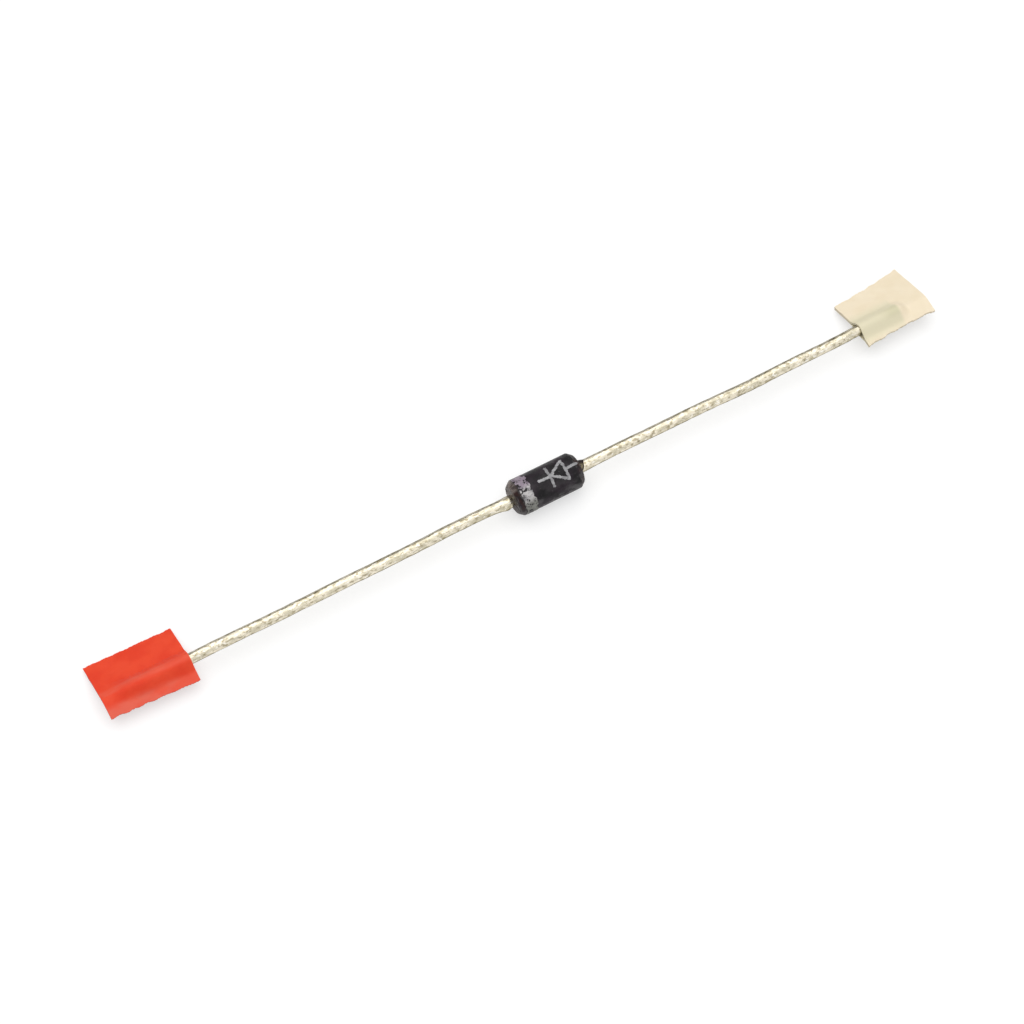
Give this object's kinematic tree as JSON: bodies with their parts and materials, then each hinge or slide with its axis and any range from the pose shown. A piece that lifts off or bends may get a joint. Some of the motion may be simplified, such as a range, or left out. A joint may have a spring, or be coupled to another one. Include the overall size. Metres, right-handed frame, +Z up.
{
  "type": "axial rectifier diode",
  "caption": "Axial rectifier diode: dark moulded body with a grey cathode band, straight tinned wires, and a folded tab of carrier tape left on each wire.",
  "frame": {"origin": "on the surface that the part lies on, under the middle of the moulded body; the wires' common axis is 1.325 mm above it", "axes": "+X along the wires from cathode to anode, +Y towards the wide wings of the tape tabs, +Z up from the surface"},
  "size_m": [0.0644, 0.0053, 0.0026],
  "materials": {
    "moulding": "satin",
    "band_ink": "satin",
    "tinned_wire": "satin",
    "silicon": "polished",
    "solder": "matte",
    "coating": "satin",
    "red_tape": "satin",
    "pale_tape": "satin"
  },
  "bodies": {
    "root": {"epoxy_body": "moulding", "cathode_band": "band_ink", "cathode_lead": "tinned_wire", "anode_lead": "tinned_wire", "silicon_chip": "silicon", "cathode_solder": "solder", "anode_solder": "solder", "junction_coating": "coating", "cathode_tape_upper": "red_tape", "cathode_tape_lower": "red_tape", "anode_tape_upper": "pale_tape", "anode_tape_lower": "pale_tape"}
  },
  "joints": []
}
